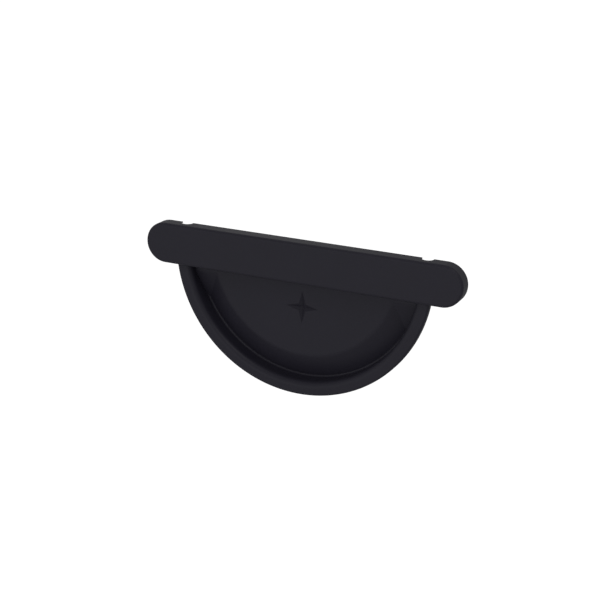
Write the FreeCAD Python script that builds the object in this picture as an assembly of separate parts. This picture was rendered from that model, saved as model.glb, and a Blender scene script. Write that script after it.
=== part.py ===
import FreeCAD, Part
import math
import os

from FreeCAD import Vector

# Half-round gutter end cap, pressed from one piece of coated steel sheet.
# +X runs along the bar, +Y into the gutter and +Z up. The origin is the centre of the gutter's
# half circle, in the plane that the cut end of the gutter stops against. Sizes are in millimetres.

# Sheet
sheet = 0.6

# Gutter that the cap closes, and the room that its groove leaves around the gutter's edge
gutter_radius = 62.5
gutter_sheet = 0.6
outer_gap = 2.4
inner_gap = 2.6

# Bar across the top
bar_height = 19.8
bar_depth = 7.3
bar_bend = 1.4
ear_reach = 15.0

# Round-bottomed notches in the back edge of the bar's upper flange
notch_width = 5.7
notch_depth = 3.5
notch_inset = 4.2

# Flat ring round the dish, and the short rim behind its edge
ring_step = 2.4
ring_corner = 0.8
rim_depth = 3.0
rim_bend = 1.2

# Round groove inside the ring, the cone that rises out of it, and the panel in the middle
wall_bend = 2.9
panel_step = 4.8
panel_corner = 1.6
panel_bend = 4.0
groove_step = 4.1
groove_bend = 0.8
slope_run = 12.5

# Flat ramps that bring the groove's ends up to the panel below the bar
ramp_start = 2.4
ramp_bend = 7.0
ramp_run = 14.7

# Four-pointed star pressed into the panel
star_drop = 23.2
star_reach = 8.2
star_waist = 2.5
star_depth = 1.6

# Radii about the axis of the half circle, all of them on the outer face of the sheet
rim_radius = gutter_radius + outer_gap + sheet
wall_radius = gutter_radius - gutter_sheet - inner_gap - sheet
panel_radius = wall_radius - slope_run
channel_radius = gutter_radius

# Levels along Y, all of them on the outer face of the sheet
ring_y = -sheet
bar_y = ring_y - ring_step
panel_y = ring_y + panel_step
groove_y = panel_y + groove_step
bar_edge_y = bar_y + bar_depth
rim_edge_y = ring_y + rim_depth

# Bar's outline
half_height = bar_height / 2
half_length = rim_radius + ear_reach
ear_centre = half_length - half_height
notch_x = rim_radius - notch_inset

# Reach of the plain blocks that the two faces of the sheet are cut from
back_y = groove_y + 4 * bar_depth
spare = 2 * bar_depth


def line(start, end):
    return Part.LineSegment(Vector(*start), Vector(*end)).toShape()


def arc(start, middle, end):
    return Part.Arc(Vector(*start), Vector(*middle), Vector(*end)).toShape()


def block_of(edges):
    return Part.Face(Part.Wire(edges))


def box(x_range, y_range, z_range):
    low = Vector(x_range[0], y_range[0], z_range[0])
    size = [span[1] - span[0] for span in (x_range, y_range, z_range)]
    return Part.makeBox(size[0], size[1], size[2], low)


def bar_block(inset):
    """Long block with round ends, whose front edge is bent; inset is the depth inside the outer face."""
    height = half_height - inset
    front = bar_y + inset
    low_left = (-ear_centre, front, -height)
    low_right = (ear_centre, front, -height)
    high_right = (ear_centre, front, height)
    high_left = (-ear_centre, front, height)
    outline = [
        line(low_left, low_right),
        arc(low_right, (ear_centre + height, front, 0), high_right),
        line(high_right, high_left),
        arc(high_left, (-ear_centre - height, front, 0), low_left),
    ]
    block = block_of(outline).extrude(Vector(0, back_y - front, 0))
    front_edges = [edge for edge in block.Edges if edge.BoundBox.YMax < front + sheet / 2]
    return block.makeFillet(bar_bend - inset, front_edges)


def polar(centre, radius, angle):
    """Point of the section (distance from the axis, Y) at an angle measured from the +X direction."""
    return (centre[0] + radius * math.cos(angle), centre[1] + radius * math.sin(angle))


def tilt_between(near, far, radii):
    """Tilt of the straight run between opposite bends about near and far; radii is the sum of theirs."""
    across = far[0] - near[0]
    down = far[1] - near[1]
    return math.atan2(down, across) + math.asin(radii / math.hypot(across, down))


def dish_block(inset):
    """Half-round block behind one face of the sheet, from the axis to the rim."""
    panel_centre = (panel_radius, panel_y + panel_bend)
    groove_centre = (wall_radius - groove_bend, groove_y - groove_bend)
    wall_centre = (wall_radius + wall_bend, ring_y + wall_bend)
    rim_centre = (rim_radius - rim_bend, ring_y + rim_bend)
    tilt = tilt_between(panel_centre, groove_centre, panel_bend + groove_bend)

    panel_r = panel_bend - inset
    groove_r = groove_bend + inset
    wall_r = wall_bend - inset
    rim_r = rim_bend - inset

    points = [
        (0, panel_y + inset),
        polar(panel_centre, panel_r, -math.pi / 2),
        polar(panel_centre, panel_r, tilt - math.pi / 2),
        polar(groove_centre, groove_r, tilt + math.pi / 2),
        polar(groove_centre, groove_r, 0),
        polar(wall_centre, wall_r, math.pi),
        polar(wall_centre, wall_r, -math.pi / 2),
        polar(rim_centre, rim_r, -math.pi / 2),
        polar(rim_centre, rim_r, 0),
        (rim_radius - inset, back_y),
        (0, back_y),
    ]
    middles = {
        1: polar(panel_centre, panel_r, (tilt - math.pi) / 2),
        3: polar(groove_centre, groove_r, (tilt + math.pi / 2) / 2),
        5: polar(wall_centre, wall_r, -3 * math.pi / 4),
        7: polar(rim_centre, rim_r, -math.pi / 4),
    }
    edges = []
    for number, start in enumerate(points):
        end = points[(number + 1) % len(points)]
        if number in middles:
            edges.append(arc((*start, 0), (*middles[number], 0), (*end, 0)))
        else:
            edges.append(line((*start, 0), (*end, 0)))
    return block_of(edges).revolve(Vector(0, 0, 0), Vector(0, 1, 0), 180)


def ramp_block(inset):
    """Block behind the ramps: level with the panel below the bar, bent, then straight into the groove."""
    start_z = -half_height - ramp_start
    centre = (0, panel_y + ramp_bend)
    tilt = tilt_between(centre, (ramp_run, groove_y), ramp_bend)
    bend_r = ramp_bend - inset
    bend_middle = polar(centre, bend_r, (tilt - math.pi) / 2)
    bend_end = polar(centre, bend_r, tilt - math.pi / 2)
    end_y = groove_y + 2 * sheet
    end_run = bend_end[0] + (end_y - bend_end[1]) / math.tan(tilt)

    def place(run, level):
        return (-wall_radius, level, start_z - run)

    edges = [
        line((-wall_radius, panel_y + inset, 0), place(0, panel_y + inset)),
        arc(place(0, panel_y + inset), place(*bend_middle), place(*bend_end)),
        line(place(*bend_end), place(end_run, end_y)),
        line(place(end_run, end_y), place(end_run, back_y)),
        line(place(end_run, back_y), (-wall_radius, back_y, 0)),
        line((-wall_radius, back_y, 0), (-wall_radius, panel_y + inset, 0)),
    ]
    block = block_of(edges).extrude(Vector(2 * wall_radius, 0, 0))
    return block.common(disc(wall_radius + wall_bend))


def disc(radius):
    """Round block about the dish's axis, as deep as the other blocks."""
    return Part.makeCylinder(radius, back_y - bar_y, Vector(0, bar_y, 0), Vector(0, 1, 0))


def corner_block(level, bend, reach, inset):
    """Fill of the bend between the bar's lower wall and a flat at one level."""
    low = -half_height + inset
    centre_y = level - bend
    centre_z = -half_height - bend
    radius = bend + inset
    middle = radius / math.sqrt(2)
    edges = [
        line((-reach, centre_y, low), (-reach, level + inset, low)),
        line((-reach, level + inset, low), (-reach, level + inset, centre_z)),
        arc((-reach, level + inset, centre_z), (-reach, centre_y + middle, centre_z + middle),
            (-reach, centre_y, low)),
    ]
    return block_of(edges).extrude(Vector(2 * reach, 0, 0))


def ring_corner_block(inset):
    """Bend between the bar's lower wall and the flat ring, at both sides of the dish."""
    strip = corner_block(ring_y, ring_corner, rim_radius, inset)
    return strip.common(disc(rim_radius - rim_bend)).cut(disc(wall_radius + wall_bend))


def panel_corner_block(inset):
    """Bend between the bar's lower wall and the panel."""
    strip = corner_block(panel_y, panel_corner, wall_radius + wall_bend, inset)
    return strip.common(disc(wall_radius + wall_bend))


def star_block(inset):
    """Shallow four-pointed star: its facets fall from the outline to one deepest point."""
    level = panel_y + inset
    outline = []
    for number in range(8):
        reach = star_waist if number % 2 else star_reach
        angle = number * math.pi / 4
        outline.append(Vector(reach * math.cos(angle), level, -star_drop + reach * math.sin(angle)))
    deepest = Vector(0, level + star_depth, -star_drop)
    faces = [Part.Face(Part.makePolygon(outline + outline[:1]))]
    for number, corner in enumerate(outline):
        following = outline[(number + 1) % len(outline)]
        faces.append(Part.Face(Part.makePolygon([corner, following, deepest, corner])))
    solid = Part.Solid(Part.Shell(faces))
    if solid.Volume < 0:
        solid.reverse()
    return solid


def blank(inset):
    """All that lies behind one face of the sheet; inset 0 is the outer face, inset sheet the inner one."""
    block = bar_block(inset).fuse([
        dish_block(inset),
        ramp_block(inset),
        ring_corner_block(inset),
        panel_corner_block(inset),
    ])
    return block.cut(star_block(inset))


def trim_behind_bar():
    """What is cut off behind the flange of the bar and of its ears."""
    x_range = (-half_length - spare, half_length + spare)
    y_range = (bar_edge_y, back_y + spare)
    behind = box(x_range, y_range, (-half_height - sheet, half_height + spare))
    kept = disc(rim_radius - sheet).common(box(x_range, (bar_y, back_y), (-half_length, 0)))
    low = box(x_range, y_range, (-half_height - spare, -half_height))
    return behind.cut(kept).cut(low)


def trim_behind_rim():
    """What is cut off behind the rim's back edge, below the bar."""
    ring = disc(rim_radius + spare).cut(disc(channel_radius))
    behind = box((-half_length, half_length), (rim_edge_y, back_y + spare),
                 (-half_length - spare, -half_height))
    return ring.common(behind)


def notch(side):
    """One round-bottomed notch through the upper flange."""
    radius = notch_width / 2
    bottom_y = bar_edge_y - notch_depth + radius
    low = half_height - spare / 2
    hole = Part.makeCylinder(radius, spare, Vector(side * notch_x, bottom_y, low), Vector(0, 0, 1))
    mouth = box((side * notch_x - radius, side * notch_x + radius), (bottom_y, bar_edge_y + spare),
                (low, low + spare))
    return hole.fuse(mouth)


def end_cap():
    cap = blank(0).cut(blank(sheet))
    cap = cap.cut([trim_behind_bar(), trim_behind_rim(), notch(-1), notch(1)])
    return cap.removeSplitter()


os.makedirs("parts", exist_ok=True)
cap = end_cap()
print("end_cap: solids", len(cap.Solids), "valid", cap.isValid(), "volume mm3", round(cap.Volume, 1))
cap.Solids[0].exportStep("parts/end_cap.step")
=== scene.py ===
import math

import bpy
from bpy.props import FloatProperty, FloatVectorProperty, PointerProperty
from mathutils import Matrix, Vector


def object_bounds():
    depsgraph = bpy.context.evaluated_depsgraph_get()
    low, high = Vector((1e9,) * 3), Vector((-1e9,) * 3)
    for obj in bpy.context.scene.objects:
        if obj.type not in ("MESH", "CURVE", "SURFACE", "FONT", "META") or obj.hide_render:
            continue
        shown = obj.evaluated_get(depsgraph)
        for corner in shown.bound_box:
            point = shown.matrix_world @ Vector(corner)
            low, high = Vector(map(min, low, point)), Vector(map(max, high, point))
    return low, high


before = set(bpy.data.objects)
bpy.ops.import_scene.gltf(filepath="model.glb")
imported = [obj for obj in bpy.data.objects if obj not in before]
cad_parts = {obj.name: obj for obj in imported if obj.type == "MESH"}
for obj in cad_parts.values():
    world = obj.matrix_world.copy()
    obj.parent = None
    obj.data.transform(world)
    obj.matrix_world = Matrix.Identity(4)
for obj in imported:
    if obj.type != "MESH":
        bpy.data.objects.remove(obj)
cad_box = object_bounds()

bl_info = {
    "name": "Gutter End Cap",
    "version": (1, 0, 0),
    "blender": (4, 5, 0),
    "location": "3D View > Sidebar > End Cap",
    "description": "Finishes a pressed half-round gutter end cap and sets up its studio",
    "category": "Object",
}

CAP_NODE = "end_cap"

# How near to a cut edge a point lies to be on that edge, in metres
EDGE_REACH = 0.00002

# Least share of a face's normal that points backwards on an edge that faces backwards, and the
# greatest share that points up or down on an upright one
FACING_BACK = 0.9
UPRIGHT = 0.3

# Range that the values of noise mostly stay in
NOISE_RANGE = (0.30, 0.70)

# Sides of the round floor, and steps in the bend up to its wall
FLOOR_SIDES = 96
BEND_STEPS = 16

# Directions that the soft lights stand in, seen from the cap, and the names of the settings that
# hold their power and width
SOFTBOXES = (
    ("front_softbox", (0.0, -1.0, 0.0), "front_power", "light_size"),
    ("key_softbox", (1.0, -1.0, 2.0), "key_power", "key_size"),
    ("left_softbox", (-1.0, -1.0, 0.0), "left_power", "light_size"),
    ("rear_softbox", (-1.0, 1.0, 1.0), "rear_power", "light_size"),
)


class CapFinishSettings(bpy.types.PropertyGroup):
    """Colour, gloss and grain of the coated steel, and its bare cut edges."""

    coat_colour: FloatVectorProperty(
        name="Coat colour",
        description="Colour of the coil coating where it varies to the dark side",
        subtype="COLOR",
        size=3,
        min=0.0,
        max=1.0,
        default=(0.0212, 0.0197, 0.0302),
    )
    coat_colour_light: FloatVectorProperty(
        name="Lighter coat colour",
        description="Colour of the coil coating where it varies to the light side",
        subtype="COLOR",
        size=3,
        min=0.0,
        max=1.0,
        default=(0.0262, 0.0243, 0.0370),
    )
    grain_size: FloatProperty(
        name="Grain size",
        description="Size of the fine grain in the coating",
        default=0.0004,
        min=0.00005,
        unit="LENGTH",
    )
    grain_depth: FloatProperty(
        name="Grain depth",
        description="Height of the fine grain",
        default=0.00003,
        min=0.0,
        unit="LENGTH",
    )
    peel_size: FloatProperty(
        name="Peel size",
        description="Size of the shallow waves that the coating dried with",
        default=0.0022,
        min=0.0002,
        unit="LENGTH",
    )
    peel_depth: FloatProperty(
        name="Peel depth",
        description="Height of the shallow waves",
        default=0.00002,
        min=0.0,
        unit="LENGTH",
    )
    roughness_low: FloatProperty(
        name="Low roughness",
        description="Roughness of the coating where it varies to the glossy side",
        default=0.38,
        min=0.0,
        max=1.0,
    )
    roughness_high: FloatProperty(
        name="High roughness",
        description="Roughness of the coating where it varies to the matt side",
        default=0.52,
        min=0.0,
        max=1.0,
    )
    cloud_size: FloatProperty(
        name="Cloud size",
        description="Size of the faint patches in the coating's colour and gloss",
        default=0.022,
        min=0.001,
        unit="LENGTH",
    )
    cloud_share: FloatProperty(
        name="Cloud share",
        description="Part of the coating's variation that the patches make; the grain makes the rest",
        default=0.5,
        min=0.0,
        max=1.0,
        subtype="FACTOR",
    )
    reflection: FloatProperty(
        name="Reflection",
        description="How strongly the coating reflects, where 0.5 is a usual gloss paint",
        default=0.25,
        min=0.0,
        max=1.0,
    )
    edge_colour: FloatVectorProperty(
        name="Edge colour",
        description="Colour of the zinc on the sheet's bare cut edges",
        subtype="COLOR",
        size=3,
        min=0.0,
        max=1.0,
        default=(0.20, 0.205, 0.21),
    )
    flange_edge: FloatProperty(
        name="Flange edge",
        description="Depth of the cut edge behind the bar's face, along Y",
        default=0.0043,
        unit="LENGTH",
    )
    rim_edge: FloatProperty(
        name="Rim edge",
        description="Depth of the rim's cut edge, along Y",
        default=0.0024,
        unit="LENGTH",
    )
    sheet: FloatProperty(
        name="Sheet",
        description="Thickness of the sheet, which the notches in the flange cut through",
        default=0.0006,
        min=0.0,
        unit="LENGTH",
    )


class StudioSettings(bpy.types.PropertyGroup):
    """Floor, lights and camera."""

    floor_drop: FloatProperty(
        name="Floor drop",
        description="How far the floor lies below the cap's lowest point",
        default=0.45,
        min=0.0,
        unit="LENGTH",
    )
    floor_radius: FloatProperty(
        name="Floor radius",
        description="Radius of the round floor, whose edge curves up into a wall",
        default=2.5,
        min=0.5,
        unit="LENGTH",
    )
    wall_height: FloatProperty(
        name="Wall height",
        description="Height of the wall round the floor",
        default=2.2,
        min=0.1,
        unit="LENGTH",
    )
    paper_tone: FloatProperty(
        name="Paper tone",
        description="How light the floor's white paper is",
        default=0.9,
        min=0.0,
        max=1.0,
    )
    fibre_size: FloatProperty(
        name="Fibre size",
        description="Size of the paper's fibres",
        default=0.003,
        min=0.0005,
        unit="LENGTH",
    )
    fibre_depth: FloatProperty(
        name="Fibre depth",
        description="Height of the paper's fibres",
        default=0.00001,
        min=0.0,
        unit="LENGTH",
    )
    floor_glow: FloatProperty(
        name="Floor glow",
        description="How brightly the floor is lit from within, so that it stays plain white",
        default=0.75,
        min=0.0,
    )
    sky_strength: FloatProperty(
        name="Sky strength",
        description="Even light from all round",
        default=0.33,
        min=0.0,
    )
    light_size: FloatProperty(
        name="Light size",
        description="Width of each soft light but the one high on the right",
        default=0.9,
        min=0.05,
        unit="LENGTH",
    )
    key_size: FloatProperty(
        name="Key size",
        description="Width of the soft light high on the right",
        default=0.35,
        min=0.05,
        unit="LENGTH",
    )
    light_distance: FloatProperty(
        name="Light distance",
        description="Distance of each soft light from the cap",
        default=1.1,
        min=0.2,
        unit="LENGTH",
    )
    front_power: FloatProperty(
        name="Front power",
        description="Power of the soft light in front of the cap",
        default=1.4,
        min=0.0,
        unit="POWER",
    )
    key_power: FloatProperty(
        name="Key power",
        description="Power of the soft light high on the right",
        default=1.25,
        min=0.0,
        unit="POWER",
    )
    left_power: FloatProperty(
        name="Left power",
        description="Power of the soft light on the left",
        default=0.7,
        min=0.0,
        unit="POWER",
    )
    rear_power: FloatProperty(
        name="Rear power",
        description="Power of the soft light high behind the cap",
        default=0.4,
        min=0.0,
        unit="POWER",
    )
    camera_distance: FloatProperty(
        name="Camera distance",
        description="Distance of the camera from the point that it looks at",
        default=0.6139,
        unit="LENGTH",
    )
    camera_azimuth: FloatProperty(
        name="Camera azimuth",
        description="How far the camera stands round to the cap's +X side",
        default=math.radians(24.439),
        subtype="ANGLE",
    )
    camera_elevation: FloatProperty(
        name="Camera elevation",
        description="How far the camera stands above the cap",
        default=math.radians(18.645),
        subtype="ANGLE",
    )
    camera_roll: FloatProperty(
        name="Camera roll",
        description="How far the camera is turned about its own axis",
        default=math.radians(1.494),
        subtype="ANGLE",
    )
    camera_target: FloatVectorProperty(
        name="Camera target",
        description="Point that the camera looks at",
        subtype="TRANSLATION",
        size=3,
        default=(0.00797, -0.00644, -0.01905),
    )
    camera_lens: FloatProperty(
        name="Camera lens",
        description="Focal length on a 36 mm wide sensor, in millimetres",
        default=77.92,
        min=10.0,
    )


def noise(nodes, links, vector, size, detail):
    """Noise whose blotches are about as wide as size, with detail finer layers in them."""
    made = nodes.new("ShaderNodeTexNoise")
    made.inputs["Scale"].default_value = 1.0 / size
    made.inputs["Detail"].default_value = detail
    links.new(vector, made.inputs["Vector"])
    return made.outputs["Fac"]


def blend(nodes, links, first, second, share):
    """Mix of two values; share is the part that the second one takes."""
    made = nodes.new("ShaderNodeMix")
    made.data_type = "FLOAT"
    made.inputs["Factor"].default_value = share
    links.new(first, made.inputs[2])
    links.new(second, made.inputs[3])
    return made.outputs[0]


def stretched(nodes, links, value, low, high):
    """A noise value whose usual range is stretched from low to high."""
    made = nodes.new("ShaderNodeMapRange")
    made.inputs["From Min"].default_value = NOISE_RANGE[0]
    made.inputs["From Max"].default_value = NOISE_RANGE[1]
    made.inputs["To Min"].default_value = low
    made.inputs["To Max"].default_value = high
    links.new(value, made.inputs["Value"])
    return made.outputs["Result"]


def reckon(nodes, links, operation, first, second=0.0):
    """One step of arithmetic; the second term is a number or a socket."""
    made = nodes.new("ShaderNodeMath")
    made.operation = operation
    links.new(first, made.inputs[0])
    if isinstance(second, float):
        made.inputs[1].default_value = second
    else:
        links.new(second, made.inputs[1])
    return made.outputs["Value"]


def parted(nodes, links, vector):
    """X, Y and Z of a vector."""
    made = nodes.new("ShaderNodeSeparateXYZ")
    links.new(vector, made.inputs["Vector"])
    return made.outputs


def bump(nodes, links, height, depth):
    """Bump whose noise stands up to depth high."""
    made = nodes.new("ShaderNodeBump")
    made.inputs["Strength"].default_value = 1.0
    made.inputs["Distance"].default_value = depth
    links.new(height, made.inputs["Height"])
    return made


def back_edges(nodes, links, at, facing, settings):
    """1 on the cut edges of the flange and the rim, which face backwards at one depth each."""
    hits = []
    for level in (settings.flange_edge, settings.rim_edge):
        away = reckon(nodes, links, "SUBTRACT", at["Y"], level)
        hits.append(reckon(nodes, links, "LESS_THAN", reckon(nodes, links, "ABSOLUTE", away), EDGE_REACH))
    backwards = reckon(nodes, links, "GREATER_THAN", facing["Y"], FACING_BACK)
    return reckon(nodes, links, "MULTIPLY", reckon(nodes, links, "MAXIMUM", *hits), backwards)


def notch_edges(nodes, links, at, facing, settings):
    """1 on the walls of the notches, which stand upright in the thickness of the upper flange."""
    flange_floor = cad_box[1][2] - settings.sheet - EDGE_REACH
    high = reckon(nodes, links, "GREATER_THAN", at["Z"], flange_floor)
    behind_bend = reckon(nodes, links, "GREATER_THAN", at["Y"], 0.0)
    upright = reckon(nodes, links, "LESS_THAN", reckon(nodes, links, "ABSOLUTE", facing["Z"]), UPRIGHT)
    return reckon(nodes, links, "MULTIPLY", reckon(nodes, links, "MULTIPLY", high, behind_bend), upright)


def coated_steel(settings):
    """Satin coil coating with fine grain, shallow waves and faint patches; the cut edges are bare."""
    material = bpy.data.materials.new("satin_coated_sheet")
    material.use_nodes = True
    nodes = material.node_tree.nodes
    links = material.node_tree.links
    shader = nodes["Principled BSDF"]
    place = nodes.new("ShaderNodeTexCoord").outputs["Object"]

    grain = noise(nodes, links, place, settings.grain_size, 3.0)
    peel = noise(nodes, links, place, settings.peel_size, 1.0)
    cloud = noise(nodes, links, place, settings.cloud_size, 3.0)
    mottle = blend(nodes, links, grain, cloud, settings.cloud_share)

    at = parted(nodes, links, place)
    facing = parted(nodes, links, nodes.new("ShaderNodeNewGeometry").outputs["True Normal"])
    behind = back_edges(nodes, links, at, facing, settings)
    notched = notch_edges(nodes, links, at, facing, settings)
    bare = reckon(nodes, links, "MAXIMUM", behind, notched)

    coat = nodes.new("ShaderNodeValToRGB")
    dark, light = coat.color_ramp.elements
    dark.position, light.position = NOISE_RANGE
    dark.color = (*settings.coat_colour, 1.0)
    light.color = (*settings.coat_colour_light, 1.0)
    links.new(mottle, coat.inputs["Fac"])

    colour = nodes.new("ShaderNodeMix")
    colour.data_type = "RGBA"
    links.new(bare, colour.inputs["Factor"])
    links.new(coat.outputs["Color"], colour.inputs[6])
    colour.inputs[7].default_value = (*settings.edge_colour, 1.0)
    links.new(colour.outputs[2], shader.inputs["Base Color"])
    links.new(bare, shader.inputs["Metallic"])

    roughness = stretched(nodes, links, mottle, settings.roughness_low, settings.roughness_high)
    links.new(roughness, shader.inputs["Roughness"])
    waves = bump(nodes, links, peel, settings.peel_depth)
    tooth = bump(nodes, links, grain, settings.grain_depth)
    links.new(waves.outputs["Normal"], tooth.inputs["Normal"])
    links.new(tooth.outputs["Normal"], shader.inputs["Normal"])
    shader.inputs["Specular IOR Level"].default_value = settings.reflection
    return material


def studio_paper(settings):
    """Matt white paper with a faint tooth."""
    material = bpy.data.materials.new("studio_paper")
    material.use_nodes = True
    nodes = material.node_tree.nodes
    links = material.node_tree.links
    shader = nodes["Principled BSDF"]
    place = nodes.new("ShaderNodeTexCoord").outputs["Object"]
    fibres = noise(nodes, links, place, settings.fibre_size, 2.0)
    tooth = bump(nodes, links, fibres, settings.fibre_depth)
    links.new(tooth.outputs["Normal"], shader.inputs["Normal"])
    tone = settings.paper_tone
    shader.inputs["Base Color"].default_value = (tone, tone, tone, 1.0)
    shader.inputs["Roughness"].default_value = 0.9
    shader.inputs["Specular IOR Level"].default_value = 0.1
    shader.inputs["Emission Color"].default_value = (1.0, 1.0, 1.0, 1.0)
    shader.inputs["Emission Strength"].default_value = settings.floor_glow
    return material


def edge_is_at(edge, points, level):
    """Whether both ends of an edge lie at one height."""
    return all(math.isclose(points[number].co.z, level, abs_tol=1e-5) for number in edge.vertices)


class CAP_OT_finish_cap(bpy.types.Operator):
    """Give the pressed cap its coated steel"""

    bl_idname = "gutter_cap.finish_cap"
    bl_label = "Finish Cap"

    def execute(self, context):
        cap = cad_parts[CAP_NODE]
        cap.material_slots[0].material = coated_steel(context.scene.cap_finish)
        return {"FINISHED"}


class CAP_OT_build_studio(bpy.types.Operator):
    """Lay the round floor with its curved wall, and hang the soft lights"""

    bl_idname = "gutter_cap.build_studio"
    bl_label = "Build Studio"

    def execute(self, context):
        settings = context.scene.cap_studio
        self.build_floor(context, settings)
        context.scene.view_settings.view_transform = "Standard"
        world = bpy.data.worlds.new("studio_world")
        context.scene.world = world
        world.use_nodes = True
        sky = world.node_tree.nodes["Background"]
        sky.inputs["Color"].default_value = (1.0, 1.0, 1.0, 1.0)
        sky.inputs["Strength"].default_value = settings.sky_strength
        for name, direction, power, width in SOFTBOXES:
            lamp = self.hang_light(context, settings, name, Vector(direction).normalized())
            lamp.data.energy = getattr(settings, power)
            lamp.data.size = getattr(settings, width)
        return {"FINISHED"}

    def build_floor(self, context, settings):
        """Lay a round floor whose edge bends up into a wall."""
        floor_z = cad_box[0][2] - settings.floor_drop
        bpy.ops.object.select_all(action="DESELECT")
        bpy.ops.mesh.primitive_circle_add(
            vertices=FLOOR_SIDES,
            radius=settings.floor_radius,
            fill_type="NGON",
            location=(0.0, 0.0, floor_z),
        )
        floor = context.active_object
        floor.name = "studio_floor"
        bpy.ops.object.transform_apply(location=True, rotation=True, scale=True)
        bpy.ops.object.mode_set(mode="EDIT")
        bpy.ops.mesh.select_mode(type="EDGE")
        bpy.ops.mesh.select_all(action="DESELECT")
        bpy.ops.mesh.select_non_manifold()
        bpy.ops.mesh.extrude_region_move(TRANSFORM_OT_translate={"value": (0.0, 0.0, settings.wall_height)})
        bpy.ops.mesh.select_all(action="DESELECT")
        bpy.ops.object.mode_set(mode="OBJECT")
        for edge in floor.data.edges:
            edge.select = edge_is_at(edge, floor.data.vertices, floor_z)
        bpy.ops.object.mode_set(mode="EDIT")
        bpy.ops.mesh.bevel(offset=settings.floor_radius / 2, segments=BEND_STEPS, affect="EDGES")
        bpy.ops.mesh.select_all(action="SELECT")
        bpy.ops.mesh.normals_make_consistent(inside=True)
        bpy.ops.object.mode_set(mode="OBJECT")
        bpy.ops.object.shade_smooth()
        floor.data.materials.append(studio_paper(settings))
        floor.visible_diffuse = False
        floor.visible_glossy = False
        floor.visible_shadow = False

    def hang_light(self, context, settings, name, direction):
        """Hang a square soft light that faces the cap; its power and width are set later."""
        light = bpy.data.lights.new(name, "AREA")
        light.shape = "SQUARE"
        lamp = bpy.data.objects.new(name, light)
        centre = (Vector(cad_box[0]) + Vector(cad_box[1])) / 2
        lamp.location = centre + direction * settings.light_distance
        lamp.rotation_euler = (-direction).to_track_quat("-Z", "Y").to_euler()
        lamp.visible_camera = False
        context.scene.collection.objects.link(lamp)
        return lamp


class CAP_OT_place_camera(bpy.types.Operator):
    """Stand the camera where the photograph was taken from"""

    bl_idname = "gutter_cap.place_camera"
    bl_label = "Place Camera"

    def execute(self, context):
        settings = context.scene.cap_studio
        turn = settings.camera_azimuth
        rise = settings.camera_elevation
        back = Vector((
            math.sin(turn) * math.cos(rise),
            -math.cos(turn) * math.cos(rise),
            math.sin(rise),
        ))
        level = Vector((0.0, 0.0, 1.0)).cross(back).normalized()
        upright = back.cross(level)
        roll = settings.camera_roll
        right = level * math.cos(roll) + upright * math.sin(roll)
        up = upright * math.cos(roll) - level * math.sin(roll)
        place = Vector(settings.camera_target) + back * settings.camera_distance
        view = bpy.data.cameras.new("photo_camera")
        view.sensor_fit = "HORIZONTAL"
        view.sensor_width = 36.0
        view.lens = settings.camera_lens
        view.clip_start = 0.01
        camera = bpy.data.objects.new("photo_camera", view)
        camera.matrix_world = Matrix((
            (right.x, up.x, back.x, place.x),
            (right.y, up.y, back.y, place.y),
            (right.z, up.z, back.z, place.z),
            (0.0, 0.0, 0.0, 1.0),
        ))
        context.scene.collection.objects.link(camera)
        context.scene.camera = camera
        return {"FINISHED"}


OPERATORS = (CAP_OT_finish_cap, CAP_OT_build_studio, CAP_OT_place_camera)


class CAP_PT_sidebar(bpy.types.Panel):
    """Lists the steps that finish the cap and its studio"""

    bl_label = "Gutter End Cap"
    bl_idname = "CAP_PT_sidebar"
    bl_space_type = "VIEW_3D"
    bl_region_type = "UI"
    bl_category = "End Cap"

    def draw(self, context):
        for settings in (context.scene.cap_finish, context.scene.cap_studio):
            for name in settings.bl_rna.properties.keys():
                if name not in ("rna_type", "name"):
                    self.layout.prop(settings, name)
        for operator in OPERATORS:
            self.layout.operator(operator.bl_idname)


CLASSES = (CapFinishSettings, StudioSettings, *OPERATORS, CAP_PT_sidebar)


def register():
    for made in CLASSES:
        bpy.utils.register_class(made)
    bpy.types.Scene.cap_finish = PointerProperty(type=CapFinishSettings)
    bpy.types.Scene.cap_studio = PointerProperty(type=StudioSettings)


def unregister():
    del bpy.types.Scene.cap_studio
    del bpy.types.Scene.cap_finish
    for made in reversed(CLASSES):
        bpy.utils.unregister_class(made)


def main():
    """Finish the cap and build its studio."""
    register()
    bpy.ops.gutter_cap.finish_cap()
    bpy.ops.gutter_cap.build_studio()
    bpy.ops.gutter_cap.place_camera()


if __name__ == "__main__":
    main()
